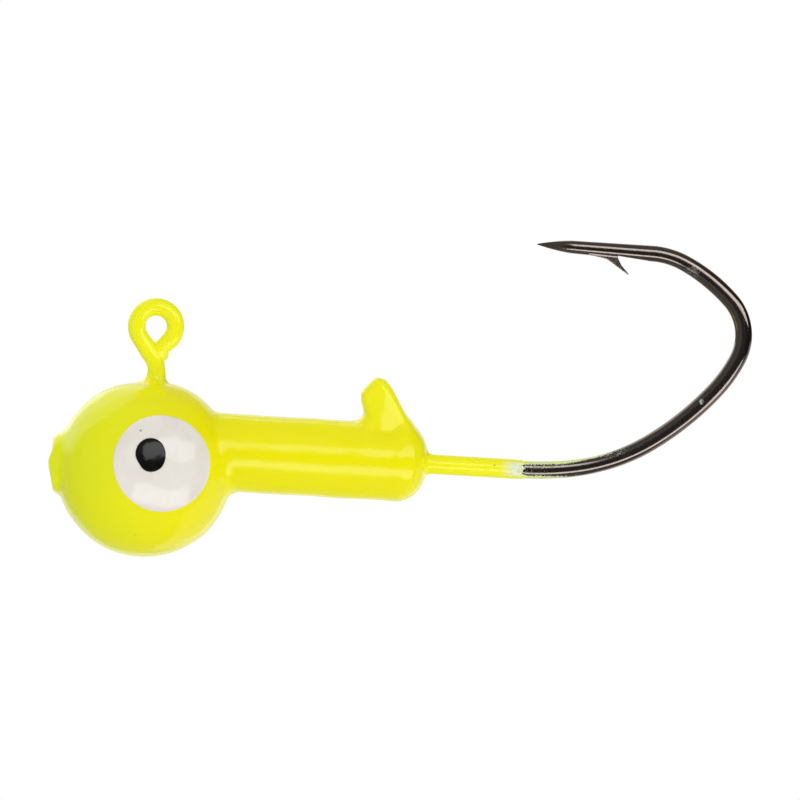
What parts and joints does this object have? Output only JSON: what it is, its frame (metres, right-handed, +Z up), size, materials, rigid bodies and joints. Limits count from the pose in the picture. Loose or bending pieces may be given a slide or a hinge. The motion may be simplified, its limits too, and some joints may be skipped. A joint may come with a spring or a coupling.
{
  "type": "jig head",
  "caption": "Painted round jig head with a long bait collar, a leaning keeper barb, printed eyes, an upright closed line eye and a wide-gap barbed hook.",
  "frame": {"origin": "centre of the line eye's hole, in the mirror plane", "axes": "+X along the hook shank from the nose to the bend, +Z up to the side of the line eye and the hook point, +Y across the mirror plane, along the line eye's hole"},
  "size_m": [0.0394, 0.01, 0.0193],
  "materials": {
    "hook_steel": "black nickel plate, bright",
    "lead": null,
    "white_base": "white base coat, satin",
    "yellow_paint": "glossy chartreuse yellow paint",
    "eye_white": "printed warm white, glossy",
    "pupil_black": "printed soft black, glossy"
  },
  "bodies": {
    "root": {"jig_hook": "hook_steel", "lead_casting": "lead", "base_coat": "white_base", "colour_coat": "yellow_paint", "eye_white_left": "eye_white", "eye_white_right": "eye_white", "pupil_left": "pupil_black", "pupil_right": "pupil_black"}
  },
  "joints": []
}
